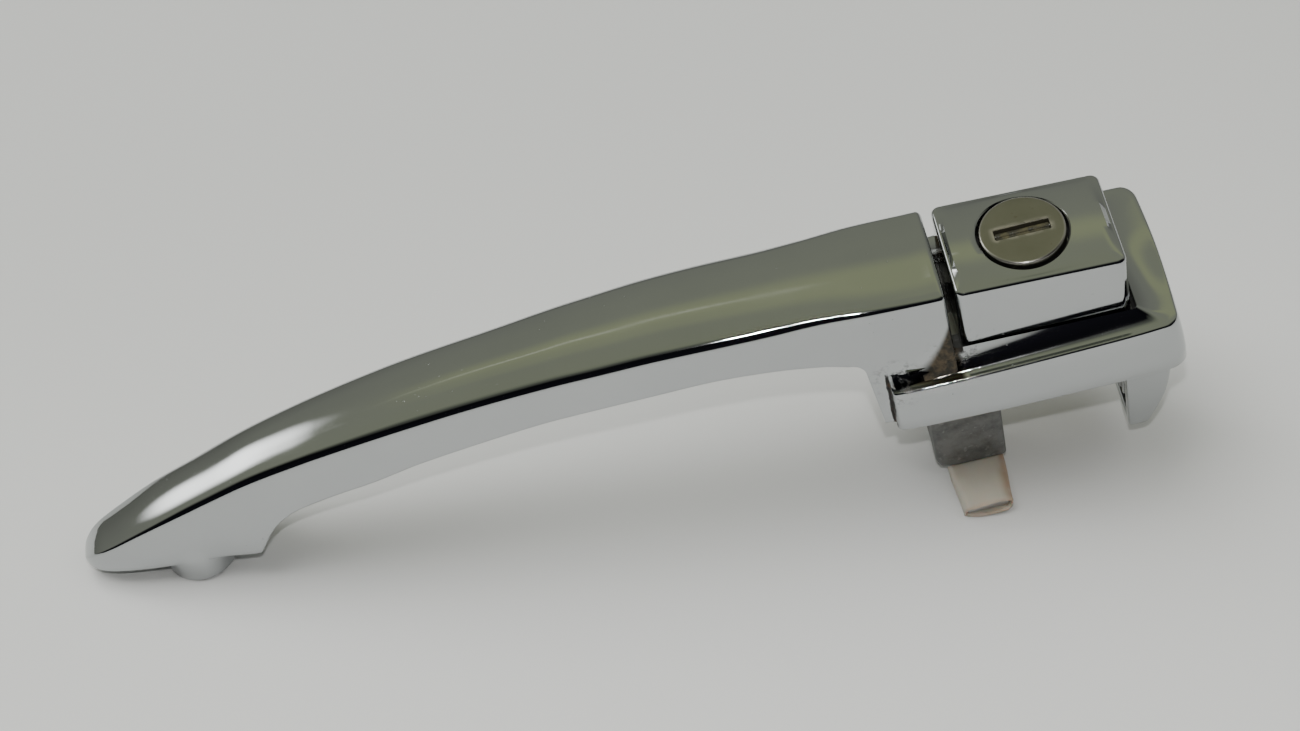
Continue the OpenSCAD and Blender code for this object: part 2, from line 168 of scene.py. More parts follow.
def facing(points, cx, cy, r):
    # spread over a circle, starting beside the outline's first point and running the same way
    n = len(points)
    start = math.atan2(points[0].y - cy, points[0].x - cx)
    following = points[1:] + points[:1]
    area = sum(p.x * q.y - q.x * p.y for p, q in zip(points, following))
    way = 1 if area > 0 else -1
    angles = [(math.atan2(p.y - cy, p.x - cx) - start) * way % (2 * math.pi) for p in points]
    for i in range(1, n):
        if angles[i] < angles[i - 1]:
            angles[i] = angles[i - 1] + 0.001
    angles = [start + way * a for a in angles]
    return [Vector((cx + r * math.cos(a), cy + r * math.sin(a))) for a in angles]


def lift(points, z):
    return [(p.x, p.y, z(p) if callable(z) else z) for p in points]


def smooth(obj, angle=35):
    pick(obj)
    bpy.ops.object.shade_smooth_by_angle(angle=math.radians(angle))


def carve(obj, cutter):  # takes the cutter's volume out of obj
    cut = obj.modifiers.new("cut", "BOOLEAN")
    cut.operation = "DIFFERENCE"
    cut.solver = "EXACT"
    cut.object = cutter
    pick(obj)
    bpy.ops.object.modifier_apply(modifier=cut.name)
    bpy.data.objects.remove(cutter, do_unlink=True)


def boxCutter(x0, x1, y0, y1, z0, z1):
    corners = [Vector(c) for c in rectangle(x0, x1, y0, y1)]
    return stack("cutter", [lift(corners, z) for z in (z0, z1)])


# shader maths

class Num:
    def __init__(self, nodes, link):
        self.nodes, self.link = nodes, link

    def op(self, kind, *values):
        return self.nodes.node("Math", {"operation": kind}, dict(enumerate(values)))

    def __add__(self, other): return self.op("ADD", self, other)
    def __radd__(self, other): return self.op("ADD", other, self)
    def __sub__(self, other): return self.op("SUBTRACT", self, other)
    def __rsub__(self, other): return self.op("SUBTRACT", other, self)
    def __mul__(self, other): return self.op("MULTIPLY", self, other)
    def __pow__(self, other): return self.op("POWER", self, other)
    def above(self, other): return self.op("GREATER_THAN", self, other)
    def low(self, other): return self.op("MINIMUM", self, other)
    def size(self): return self.op("ABSOLUTE", self)


class Nodes:  # a node tree with x, y and z ready to use
    def __init__(self, tree, coordinates, scale):
        self.tree = tree
        self.tree.nodes.clear()
        self.place = self.node("TexCoord", {}, {}, coordinates)
        parts = self.node("SeparateXYZ", {}, {0: self.place}, None)
        self.x, self.y, self.z = (Num(self, parts.outputs[k]) * scale for k in range(3))

    def feed(self, socket, value):
        if isinstance(value, Num):
            self.tree.links.new(value.link, socket)
        else:
            socket.default_value = value

    def node(self, kind, settings, values, out=0):
        n = self.tree.nodes.new("ShaderNode" + kind)
        for key, value in settings.items():
            setattr(n, key, value)
        for key, value in values.items():
            self.feed(n.inputs[key], value)
        return n if out is None else Num(self, n.outputs[out])

    def noise(self, scale, detail, rough, where=None):
        return self.node("TexNoise", {}, {"Vector": where or self.place, "Scale": scale,
                                          "Detail": detail, "Roughness": rough}, "Fac")

    def stretched(self, sx, sy, sz):
        return self.node("Mapping", {}, {"Vector": self.place, "Scale": (sx, sy, sz)}, "Vector")

    def band(self, value, low, high):  # 0 below low, 1 above high
        return self.node("MapRange", {"interpolation_type": "SMOOTHSTEP"},
                         {"Value": value, "From Min": low, "From Max": high}, "Result")

    def inside(self, value, low, high):  # 1 below low, 0 above high
        return 1.0 - self.band(value, low, high)

    def mix(self, factor, a, b):
        a, b = (c if isinstance(c, Num) else (*c, 1.0) for c in (a, b))
        return self.node("Mix", {"data_type": "RGBA"}, {0: factor, 6: a, 7: b}, 2)

    def near(self, cx, cy, cz, radius):  # 1 at a place, 0 a radius away
        dx, dy, dz = self.x - cx, self.y - cy, self.z - cz
        return self.inside((dx * dx + dy * dy + dz * dz) ** 0.5, 0.0, radius)

    def ramp(self, value, stops):
        n = self.node("ValToRGB", {}, {0: value}, None)
        while len(n.color_ramp.elements) < len(stops):
            n.color_ramp.elements.new(0.5)
        for element, (pos, colour) in zip(n.color_ramp.elements, stops):
            element.position = pos
            element.color = (*colour, 1)
        return Num(self, n.outputs[0])


class Shade(Nodes):  # one material, measured in millimetres
    inputs = {"colour": "Base Color", "rough": "Roughness", "metal": "Metallic",
              "glow": "Subsurface Weight", "glowScale": "Subsurface Scale", "shine": "Specular IOR Level"}

    def __init__(self, name):
        self.mat = bpy.data.materials.new(name)
        self.mat.use_nodes = True
        super().__init__(self.mat.node_tree, "Object", 1000.0)

    def finish(self, bump, distance, strength, **values):
        bumped = self.node("Bump", {}, {"Height": bump, "Strength": strength, "Distance": distance}, "Normal")
        sockets = {self.inputs[key]: value for key, value in values.items()}
        surface = self.node("BsdfPrincipled", {}, {**sockets, "Normal": bumped})
        self.node("OutputMaterial", {}, {"Surface": surface}, None)
        return self.mat


def dress(obj, material):
    obj.data.materials.clear()
    obj.data.materials.append(material)


chromeLook = {
    "light": (0.48, 0.495, 0.497), "dark": (0.42, 0.435, 0.442), "rough": 0.05, "haze": 0.07, "wave": 0.15,
    # colours of the dirt, also used for the painted shade in the slit
    "dirtAndShadeDark": (0.02, 0.017, 0.014), "dirtAndShadeLight": (0.13, 0.07, 0.035),
    # colours of the painted shade along the fillet
    "filletShadeDark": (0.018, 0.016, 0.011), "filletShadeLight": (0.075, 0.055, 0.032),
    "foot": (138, 13.2, 12.5, 6.5), "corner": (149.5, 13, 15.5, 7.5),  # x, +-y, z and reach of the dirt
    "crackX": 136.1, "slitShadeX": 150.05, "filletShadeX": 136.4, "filletShadeEnd": 150.6,
}


def makeChrome(name, look):
    s = Shade(name)
    haze = s.noise(38, 4, 0.6)
    fine = s.noise(900, 2, 0.6)
    scratch = s.band(s.noise(140, 3, 0.65, s.stretched(0.12, 1.6, 1.6)), 0.62, 0.72)
    pits = s.band(s.noise(1500, 1, 0.5), 0.76, 0.8) * s.band(s.noise(60, 2, 0.5), 0.45, 0.62)

    # dirt at the column's foot, in the crack there and at its rear corners, and painted shade in the slit
    # before the button
    x, y, z, reach = look["foot"]
    foot = s.near(x, -y, z, reach) * 1.1 + s.near(x, y, z, reach) * 0.9
    x, y, z, reach = look["corner"]
    corner = s.near(x, -y, z, reach) + s.near(x, y, z, reach)
    wander = (s.noise(420, 2, 0.6) - 0.5) * 1.3
    crack = (s.inside((s.x - look["crackX"] - wander).size(), 0.12, 0.38)
             * s.band(s.y.size(), 9.5, 11.5) * s.inside(s.z, 12.5, 14.5) * s.z.above(-0.2))
    # painted shade: the narrow slit before the button is painted dark
    slitShade = (s.inside((s.x - look["slitShadeX"]).size(), 0.72, 0.95)
            * s.inside(s.z, 28.2, 29.4) * s.band(s.z, 15, 16))
    dirtAndShade = (foot * s.band(s.noise(420, 4, 0.65), 0.50, 0.66) * 0.65 + crack * 1.2
            + corner * s.band(s.noise(420, 4, 0.7), 0.5, 0.66) * 0.6 + slitShade).low(1.0)
    dirtAndShadeColour = s.mix(s.band(s.noise(500, 2, 0.5), 0.5, 0.7), look["dirtAndShadeDark"], look["dirtAndShadeLight"])
    colour = s.mix(dirtAndShade, s.mix(haze, look["dark"], look["light"]), dirtAndShadeColour)

    # painted shade that follows the concave fillet between column and base
    curve = s.x - look["filletShadeX"]
    filletShade = (s.band(13.4 + curve * curve * curve * 0.0055 - s.z, -0.4, 2.2)
             * s.band(s.x, look["filletShadeX"], look["filletShadeX"] + 0.6)
             * s.inside(s.x, look["filletShadeEnd"] - 1.0, look["filletShadeEnd"])
             * s.band(s.y.size(), 9.5, 10.4) * s.band(s.z, 11.2, 11.9))
    filletShadeColour = s.mix(s.band(s.noise(300, 4, 0.7), 0.42, 0.62), look["filletShadeDark"], look["filletShadeLight"])
    colour = s.mix(filletShade * 0.95, colour, filletShadeColour)

    rough = (look["rough"] + s.band(haze, 0.35, 0.75) * look["haze"] + scratch * 0.05 + pits * 0.25).low(0.6)
    rough = rough * (1.0 - dirtAndShade) + dirtAndShade * 0.55
    ruin = (foot * 0.8 + corner * 0.9).low(1.0)
    height = (s.noise(18, 2, 0.4) * look["wave"] + fine * 0.010 - pits * 0.12 - scratch * 0.006
              - crack * 1.4 + ruin * s.noise(700, 3, 0.7) * 0.4)
    return s.finish(colour=colour, rough=rough, metal=1.0 - dirtAndShade * 0.75,
                    bump=height, distance=0.0003, strength=0.6)


def makeZinc(name, light, dark):
    s = Shade(name)
    mottle = s.noise(260, 5, 0.7)
    cloud = s.noise(60, 3, 0.6)
    chips = s.band(s.noise(750, 2, 0.6), 0.63, 0.7)
    colour = s.mix(s.band(mottle * 0.6 + cloud * 0.4, 0.35, 0.65), dark, light)
    colour = s.mix(chips * 0.15, colour, (0.55, 0.55, 0.53))
    return s.finish(colour=colour, metal=0.75, rough=0.42 + mottle * 0.25 - chips * 0.1,
                    bump=mottle * 0.5 + chips * 0.15, distance=0.00025, strength=0.7)


def makeNickel(name):
    s = Shade(name)
    brush = s.noise(700, 3, 0.6, s.stretched(0.1, 1, 1))
    wear = s.noise(160, 4, 0.6)
    spots = s.band(s.noise(500, 2, 0.5), 0.66, 0.74)
    dx, dy = s.x - lockX, s.y
    r = (dx * dx + dy * dy) ** 0.5
    aroundKey = s.inside(dx.size(), 4.6, 6.4) * s.inside(dy.size(), 1.0, 2.2)
    grime = (aroundKey * s.band(s.noise(420, 4, 0.7), 0.40, 0.6)).low(1.0)
    # painted highlight: the plug's rounded rim is painted bright
    rim = s.band(r, 7.45, 7.8)
    # painted shade: the keyway's walls are painted near black
    keywayShade = s.inside(s.z, 31.25, 31.45) * s.inside(r, 5.6, 6.0)  # the keyway's walls
    colour = s.mix(wear, (0.27, 0.265, 0.215), (0.36, 0.352, 0.295))
    colour = s.mix(spots * 0.35, colour, (0.2, 0.17, 0.12))
    colour = s.mix(grime * 0.5, colour, (0.20, 0.185, 0.09))
    colour = s.mix(rim * 0.8, colour, (0.62, 0.6, 0.56))
    colour = s.mix(keywayShade, colour, (0.05, 0.046, 0.03))
    return s.finish(colour=colour, metal=(1.0 - grime * 0.6) * (1.0 - keywayShade),
                    rough=0.33 + wear * 0.12 + grime * 0.3 - rim * 0.1,
                    bump=brush * 0.25 + wear * 0.2 + spots * -0.2, distance=0.00012, strength=0.5)


def makeSteel(name, light, dark, rough=0.3):
    s = Shade(name)
    cloud = s.noise(180, 4, 0.6)
    brush = s.noise(1200, 2, 0.5, s.stretched(0.2, 1, 1))
    return s.finish(colour=s.mix(cloud, dark, light), metal=1.0, rough=rough + cloud * 0.15,
                    bump=brush * 0.3 + cloud * 0.1, distance=0.0001, strength=0.4)


def makeRubber(name):
    s = Shade(name)
    grain = s.noise(1800, 3, 0.6)
    dust = s.band(s.noise(90, 3, 0.5), 0.5, 0.8)
    colour = s.mix(dust * 0.4, (0.016, 0.016, 0.017), (0.07, 0.068, 0.062))
    return s.finish(colour=colour, rough=0.6 + dust * 0.2, bump=grain, distance=0.00008, strength=0.4)


def makeSleevePlastic(name):
    s = Shade(name)
    streak = s.noise(240, 3, 0.6, s.stretched(1.6, 0.18, 1))
    patch = s.noise(120, 3, 0.55)
    brown = s.band(s.x, 153.2, 155.4) * 0.85 + s.band(streak, 0.60, 0.72) * 0.3
    tip = s.inside(s.y, -19.2, -18.2)
    colour = s.mix(patch, (0.40, 0.375, 0.31), (0.50, 0.475, 0.40))
    colour = s.mix((brown * s.band(patch, 0.3, 0.6)).low(1.0), colour, (0.30, 0.20, 0.125))
    colour = s.mix(tip * 0.45, colour, (0.42, 0.31, 0.21))
    return s.finish(colour=colour, rough=0.34 + patch * 0.2, glow=0.25, glowScale=0.002,
                    bump=streak * 0.6 + patch * 0.5, distance=0.0003, strength=0.5)


def makeKeywayDirt(name):
    s = Shade(name)
    spots = s.band(s.noise(480, 4, 0.65), 0.42, 0.6)
    return s.finish(colour=s.mix(spots, (0.035, 0.034, 0.024), (0.085, 0.078, 0.042)), metal=0.2,
                    rough=0.42 + spots * 0.3, bump=spots, distance=0.0001, strength=0.6)


def makeTable(name):
    s = Shade(name)
    cloud = s.noise(6, 3, 0.5)
    grain = s.noise(900, 2, 0.6)
    # painted light: the table is painted brighter in front and darker further back
    near = s.mix(cloud, (0.70, 0.705, 0.70), (0.73, 0.735, 0.73))
    far = s.mix(cloud, (0.59, 0.60, 0.59), (0.62, 0.63, 0.62))
    return s.finish(colour=s.mix(s.band(s.y, -140, 120), near, far), rough=0.42, shine=0.35,
                    bump=grain * 0.3 + cloud, distance=0.0001, strength=0.2)


print("materials")
chrome = makeChrome("chromePlate", chromeLook)
zinc = makeZinc("plungerZinc", (0.215, 0.217, 0.21), (0.10, 0.103, 0.10))
barrelZinc = makeZinc("barrelZinc", (0.42, 0.42, 0.40), (0.25, 0.25, 0.24))
nickel = makeNickel("plugNickel")
steel = makeSteel("platedSteel", (0.55, 0.55, 0.54), (0.40, 0.40, 0.40))
yellowSteel = makeSteel("passivatedSteel", (0.60, 0.54, 0.34), (0.46, 0.40, 0.24), 0.36)
springSteel = makeSteel("springWire", (0.42, 0.42, 0.43), (0.28, 0.28, 0.29), 0.25)
brass = makeSteel("waferBrass", (0.70, 0.55, 0.25), (0.55, 0.42, 0.18), 0.3)
rubber = makeRubber("blackRubber")
sleevePlastic = makeSleevePlastic("sleevePlastic")
keywayDirt = makeKeywayDirt("keywayDirt")
tableTop = makeTable("paleTable")


# the grip, with its foot and the column that carries its rear end

grip = {
    "noseX": -21.5, "footEnd": 12.9, "endX": lockX - 16.8, "endRound": 1.0,
    "noseLength": 8.5, "nosePower": 1.9, "tipLength": 1.1, "tipDrop": 1.1, "tipRise": 0.7,
    "draft": 0.055, "footSpread": 0.7, "edge": 0.7,
    "ridge": [(-21.5, 2.5), (-20.3, 3.9), (-18.5, 5.3), (-14.5, 7.1), (-4.5, 11.5), (5.5, 15.0),
              (15.5, 18.3), (25.5, 20.7), (35.5, 22.75), (45.5, 24.5), (55.5, 25.95), (65.5, 27.1),
              (75.5, 28.25), (85.5, 29.1), (95.5, 29.7), (105.5, 29.9), (115.5, 30.0), (125.5, 30.4),
              (135.5, 30.5), (145.5, 30.25), (150, 30.2)],
    "round": [(-21.5, 0.6), (-14.5, 0.8), (-4.5, 1.2), (5.5, 1.8), (15.5, 2.5), (25.5, 3.0), (35.5, 3.4),
              (75.5, 3.4), (85.5, 3.2), (95.5, 3.2), (105.5, 3.0), (115.5, 2.6), (125.5, 2.0),
              (135.5, 1.4), (145.5, 1.0), (150, 1.0)],
    "half": [(-14.5, 4.75), (-4.5, 5.75), (5.5, 6.2), (15.5, 6.7), (25.5, 7.3), (45.5, 8.2), (65.5, 8.7),
             (85.5, 9.65), (105.5, 10.3), (125.5, 10.4), (135.5, 10.95), (150, 11.05)],
    "arch": [(12.9, 0.0), (14.2, 2.0), (15.8, 4.4), (17.8, 6.7), (19.9, 8.2), (22.2, 9.4), (25.2, 10.4),
             (30.6, 11.8), (38.8, 13.5), (48, 16.0), (65.5, 18.9), (75.5, 20.3), (95.5, 21.6), (105.5, 21.9),
             (115.5, 20.9), (125.5, 18.9), (129.6, 17.6)],
    "columnX": 132.6, "columnCorner": 3.0, "columnWall": 1.7,
    "fillet": [(134, 13.0), (136.4, 13.4), (140, 14.4), (143, 16.2), (146, 19.0), (148, 22.2),
               (149.2, 25.5), (150, 28)],
    "flareFrom": 135.9, "flareTo": 137.4, "flareFront": 14.2, "flareBack": 17.4, "flareZ": 11.5,
    "flarePower": 1.7,
    "cavity": (142.7, 151, -12.3, 12.3, -1, 13.65),  # room for the plunger's plate and stem
}


def gripLow(x):
    g = grip
    corner = g["columnCorner"]
    start = g["columnX"] - corner
    if x <= g["footEnd"]:
        return 0.0
    if x <= start:
        return along(g["arch"], x)
    low = along(g["arch"], start)
    if x <= g["columnX"]:
        t = (x - start) / corner
        return low - corner * (1 - math.sqrt(max(0, 1 - t * t)))
    return lerp(low - corner, 0.02, min(1.0, (x - g["columnX"]) / g["columnWall"]))


def gripSection(x, inset=0.0):
    g = grip
    nose = min(1.0, (x - g["noseX"]) / g["noseLength"])
    plan = math.sqrt(max(0.0, 1 - (1 - nose) ** g["nosePower"]))
    w = max(0.06, along(g["half"], x) * plan - inset)
    ridge = along(g["ridge"], x) - inset
    low = gripLow(x) + 0.4 * (1 - ease(-20, -8, x))
    tip = max(0.0, 1 - (x - g["noseX"]) / g["tipLength"])
    ridge -= g["tipDrop"] * (1 - math.sqrt(1 - tip * tip))
    low += g["tipRise"] * (1 - math.sqrt(1 - tip * tip))
    tall = ridge - low
    foot = w + (g["draft"] * tall + g["footSpread"] * ease(4, 12.5, x) * (1 - ease(13, 24, x))) * plan
    topRound = min(along(g["round"], x) * plan, 0.42 * min(w, tall))
    shoulder = ridge + 0.72 * topRound
    crown = 0.28 * topRound + (0.25 + 0.3 * (1 - ease(0, 40, x)) * ease(-21, -8, x)) * plan
    edge = min(g["edge"], 0.3 * w, 0.3 * tall)
    top = [(w * k / 5, shoulder + crown * (1 - (k / 5) ** 2)) for k in (-5, -3, 0, 3, 5)]
    flat = cornerLoop([(-foot, low)] + top + [(foot, low)],
                      [edge, topRound, 60, 60, 60, topRound, edge], 7, [14, 2, 2, 2, 2, 14, 8])

    # at the base the column widens below the fillet line
    flare = ease(g["flareFrom"], g["flareTo"], x)
    fillet = along(g["fillet"], x)
    points = []
    for p in flat:
        y, z = p.x, p.y
        if flare and abs(y) > 0.7 * w and z < fillet:
            q = min(1.0, (fillet - z) / (fillet - g["flareZ"]))
            wide = g["flareFront"] if y < 0 else g["flareBack"]
            y = math.copysign(lerp(abs(y), wide, flare * q ** g["flarePower"]), y)
        points.append((x, y, z))
    return points


def gripPlaces():
    g = grip
    noseSpan, archSpan = 6.5, 16  # the close rings run this far in from the nose and past the foot
    places = [g["noseX"] + noseSpan * (k / 14) ** 2 for k in range(15)]
    places += [lerp(g["noseX"] + noseSpan, g["footEnd"], k / 16) for k in range(1, 17)]
    places += [g["footEnd"] + d for d in (0.35, 1, 1.8, 2.8, 3.9, 5.2, 6.7, 8.5, 10.5, 13, archSpan)]
    start, end = g["footEnd"] + archSpan, g["columnX"] - g["columnCorner"]
    places += [lerp(start, end, k / 52) for k in range(1, 53)]
    places += [end + g["columnCorner"] * math.sin(math.radians(a)) for a in range(10, 91, 10)]
    places += [g["columnX"] + g["columnWall"] * k / 6 for k in range(1, 7)]
    start, end = g["columnX"] + g["columnWall"], g["endX"] - g["endRound"]
    places += [lerp(start, end, k / 22) for k in range(1, 23)]
    return places


def buildGrip():
    g = grip
    rings = [gripSection(x) for x in gripPlaces()]
    for a in range(15, 91, 15):
        t = math.radians(a)
        back, inset = g["endRound"] * (1 - math.sin(t)), g["endRound"] * (1 - math.cos(t))
        rings.append(gripSection(g["endX"] - back, inset))
    obj = stack("gripCasting", rings)
    carve(obj, boxCutter(*g["cavity"]))
    smooth(obj, 32)
    dress(obj, chrome)
    return obj


print("grip")
gripCasting = buildGrip()


# the round boss under the foot, open below for the threaded insert

boss = {"r": 7.2, "hole": 4.02, "height": 5.3, "edge": 0.5, "chamfer": 0.15, "lip": 0.3, "top": 1.5,
        "holeTop": 5.3, "inside": 6.2, "sides": 72}


def buildBoss():
    b = boss
    r, low, hole = b["r"], -b["height"], b["hole"]
    profile = [(r, b["top"]), (r, low + b["edge"]), (r - b["chamfer"], low + b["chamfer"]),
               (r - b["edge"], low), (hole - 0.02 + b["lip"], low), (hole, low + b["lip"]),
               (hole, b["holeTop"]), (b["inside"], b["holeTop"] + 0.1)]
    obj = stack("footBoss", [lift(circle(0, 0, r, b["sides"]), z) for r, z in profile], closed=True)
    smooth(obj, 40)
    dress(obj, chrome)
    return obj


print("boss")
footBoss = buildBoss()


# the widened base, with its sloping shelf round the button's well

base = {
    "x0": 136.3, "x1": 190.6, "bow": 0.7, "lean": 1.3, "leanTop": 12.5, "endSpan": 3.2, "backShare": 1.24,
    "flatHalf": 14.0,  # half width of the plain outline, which is then widened to the one below
    "half": [(136, 14.9), (142, 15.35), (155, 15.7), (170, 15.8), (182, 15.75), (188, 15.5), (192, 15.2)],
    "shelf": [(149, 16.6), (160, 16.3), (172, 16.0), (182, 15.8), (184, 15.7)], "shelfPower": 2.1,
    "edgeX": 136, "edgeSpan": 56, "edgeLeft": 11.4, "edgeRight": 13.4, "backRise": 1.2,
    "wellX0": lockX - 16.8, "wellX1": lockX + 17.6, "wellHalf": 11.5, "wellFloor": 14.3,
    "cavity": (139.4, 185.3, -12.6, 12.6), "mouth": (139.0, 185.7, -13.0, 13.0),
}
arcN, endN, sideN = 7, 14, 44


def baseOutline(inset, z=0.0):
    b = base
    x0, x1, h = b["x0"] + inset, b["x1"] - inset, b["flatHalf"] - inset
    loop = cornerLoop(rectangle(x0, x1, -h, h), [0.9, 2.4, 2.4, 0.9], arcN, [sideN, endN, sideN, endN])
    bend = x1 - b["endSpan"]
    lean = b["lean"] * math.cos(math.pi / 2 * min(1, z / b["leanTop"]))
    out = []
    for p in loop:
        t = min(1.0, abs(p.y) / h)
        x, y = p.x, p.y * (along(b["half"], p.x) - inset) / h
        if x > bend:
            x += (b["bow"] * (1 - t * t) + lean) * (x - bend) / b["endSpan"]
        out.append(Vector((x, y * (b["backShare"] if y > 0 else 1.0))))
    return out


def box2(x0, x1, y0, y1, r):
    return cornerLoop(rectangle(x0, x1, y0, y1), [r] * 4, arcN, [sideN, endN, sideN, endN])


def baseEdge(p):
    b = base
    share = max(0, min(1, (p.x - b["edgeX"]) / b["edgeSpan"]))
    return lerp(b["edgeLeft"], b["edgeRight"], share) + b["backRise"] * ease(-8, 8, p.y)


def shelfHeight(x):
    return along(base["shelf"], x)


def buildBase():
    b = base
    out = baseOutline
    well = box2(b["wellX0"], b["wellX1"], -b["wellHalf"], b["wellHalf"], 0.9)
    wellOut = box2(b["wellX0"] - 0.2, b["wellX1"] + 0.2, -b["wellHalf"] - 0.15, b["wellHalf"] + 0.15, 1.0)
    cavity = box2(*b["cavity"], 1.0)

    # up the side and over the rounded edge
    rings = [lift(out(0.5), 0.0), lift(out(0.15, 0.3), 0.12), lift(out(0, 0.6), 0.5)]
    for f in (0.25, 0.5, 0.75):
        rings.append([(p.x, p.y, lerp(0.5, baseEdge(p) - 0.6, f)) for p in out(0, 12 * f)])
    for inset, drop in ((0.0, 0.6), (0.05, 0.36), (0.16, 0.17), (0.32, 0.05), (0.5, 0.0)):
        rings.append([(p.x, p.y, baseEdge(p) - drop) for p in out(inset, b["leanTop"])])

    # across the shelf, down the well and back through the cavity
    edge = out(0.5, b["leanTop"])
    for k in range(1, 13):
        f = k / 12
        ring = []
        for p, q in zip(edge, wellOut):
            m = p.lerp(q, f)
            ring.append((m.x, m.y, lerp(baseEdge(p), shelfHeight(q.x), f ** b["shelfPower"])))
        rings.append(ring)
    lip = [p.lerp(q, 0.5) for p, q in zip(wellOut, well)]
    rings.append([(m.x, m.y, shelfHeight(p.x) - 0.05) for m, p in zip(lip, wellOut)])
    rings.append([(p.x, p.y, shelfHeight(p.x) - 0.6) for p in well])
    rings += [lift(well, b["wellFloor"]), lift(cavity, b["wellFloor"] - 0.05), lift(cavity, 0.4),
              lift(box2(*b["mouth"], 1.2), 0.0)]
    obj = stack("baseCasting", rings, closed=True)
    smooth(obj, 38)
    dress(obj, chrome)
    return obj


print("base")
baseCasting = buildBase()


# the hollow hook leg behind the base, open towards the front

leg = {
    "x0": lockX + 15, "half": 9.5, "wall": 2.0, "boltX": lockX + 24, "boltZ": -12.0, "boltR": 3.3,
    "back": [(-23.2, 185.3), (-22.4, 185.7), (-19.9, 186.9), (-15, 188.9), (-7.5, 190.2), (2, 191.0)],
    "levels": (-22.0, -20, -17.5, -15, -12, -9, -6, -3, 1.0),
    "floor": ((-23.2, 0.7), (-23.08, 0.25), (-22.7, 0.02), (-21.6, 0.02), (-21.2, 0.3)),  # z and inset
    "ribX": lockX + 20.2, "ribY": 5.3, "ribHalf": 0.6, "ribZ": (-17, -7),
}


def buildLeg():
    g = leg
    x0, h, w = g["x0"], g["half"], g["wall"]

    def channel(z):
        back = along(g["back"], z)
        inner = back - w - 0.3
        corners = [(x0, -h), (back, -h), (back, h), (x0, h),
                   (x0, h - w), (inner, h - w), (inner, -h + w), (x0, -h + w)]
        return lift(cornerLoop(corners, [0.35, 1.4, 1.4, 0.35, 0.3, 0.8, 0.8, 0.3],
                               5, [8, 14, 8, 2, 6, 12, 6, 2]), z)

    def plate(z, inset):
        corners = rectangle(x0 + inset, along(g["back"], z) - inset, -h + inset, h - inset)
        return lift(cornerLoop(corners, [0.35, 1.4, 1.4, 0.35], 6, [8, 16, 8, 16]), z)

    walls = stack("legCasting", [channel(z) for z in g["levels"]])
    floor = stack("legFloor", [plate(z, inset) for z, inset in g["floor"]])
    deselectAll()
    bpy.ops.mesh.primitive_cylinder_add(vertices=64, radius=g["boltR"] * mm, depth=14 * mm,
                                        location=(g["boltX"] * mm, 0, g["boltZ"] * mm),
                                        rotation=(0, math.pi / 2, 0))
    carve(walls, bpy.context.object)
    ribs = []
    for name, y in (("nutRibFront", -g["ribY"]), ("nutRibRear", g["ribY"])):
        corners = rectangle(x0, g["ribX"], y - g["ribHalf"], y + g["ribHalf"])
        rib = stack(name, [lift(cornerLoop(corners, [0.25] * 4, 4, [4, 2, 4, 2]), z) for z in g["ribZ"]])
        smooth(rib)
        dress(rib, chrome)
        ribs.append(rib)
    for piece in (walls, floor):
        smooth(piece, 40)
        dress(piece, chrome)
    return [walls, floor] + ribs


print("leg")
legPieces = buildLeg()


# the push button's block, with the well for the plug

block = {"x0": lockX - 15.1, "x1": lockX + 16.8, "half": 11.2, "edgeLeft": 30.8, "edgeRight": 29.3,
         "crown": 1.05, "bottom": 13.6, "corner": 1.7, "round": 0.75, "hole": 8.6, "seat": 27.05, "bore": 7.6,
         "draft": 0.012, "draftZ": 28, "topInset": 0.12, "rimDrop": 0.11}


def blockTop(x, y):
    b = block
    edge = lerp(b["edgeLeft"], b["edgeRight"], (x - b["x0"]) / (b["x1"] - b["x0"]))
    return edge + b["crown"] * (1 - (y / b["half"]) ** 2)


def buildBlock():
    b = block
    r = b["round"]

    def outline(inset):
        return box2(b["x0"] + inset, b["x1"] - inset, -b["half"] + inset, b["half"] - inset,
                    max(0.5, b["corner"] - inset * 0.6))

    def drafted(z):
        return outline(-b["draft"] * (b["draftZ"] - z) + b["topInset"])

    # up the sides and over the rounded edge
    rings = [lift(outline(0.4), b["bottom"]), lift(drafted(14), b["bottom"] + 0.35)]
    for f in (0.2, 0.4, 0.6, 0.8, 0.93):
        rings.append([(p.x, p.y, lerp(13.95, blockTop(p.x, b["half"]) - r, f))
                      for p in drafted(lerp(14, 29, f))])
    for a in range(0, 91, 15):
        t = math.radians(a)
        rings.append([(p.x, p.y, blockTop(p.x, b["half"]) - r * (1 - math.sin(t)))
                      for p in outline(b["topInset"] + r * (1 - math.cos(t)))])

    # across the crowned top and down the hole
    inner = outline(b["topInset"] + r)
    rim = facing(inner, lockX, 0, b["hole"] + 0.25)
    for f in (0.12, 0.28, 0.46, 0.64, 0.82, 1.0):
        drop = b["rimDrop"] * (1 - ease(0, 0.4, f))
        between = [p.lerp(q, f) for p, q in zip(inner, rim)]
        rings.append([(m.x, m.y, blockTop(m.x, m.y) - drop) for m in between])
    hole, bore = facing(inner, lockX, 0, b["hole"]), facing(inner, lockX, 0, b["bore"])
    rings.append([(p.x, p.y, blockTop(p.x, p.y) - 0.2) for p in hole])
    rings += [lift(hole, b["seat"]), lift(bore, b["seat"] - 0.03), lift(bore, b["bottom"])]
    obj = stack("buttonBlock", rings, closed=True)
    smooth(obj, 38)
    dress(obj, chrome)
    return obj


print("button")
buttonBlock = buildBlock()


# the lock's plug, with a narrow keyway sunk in its face

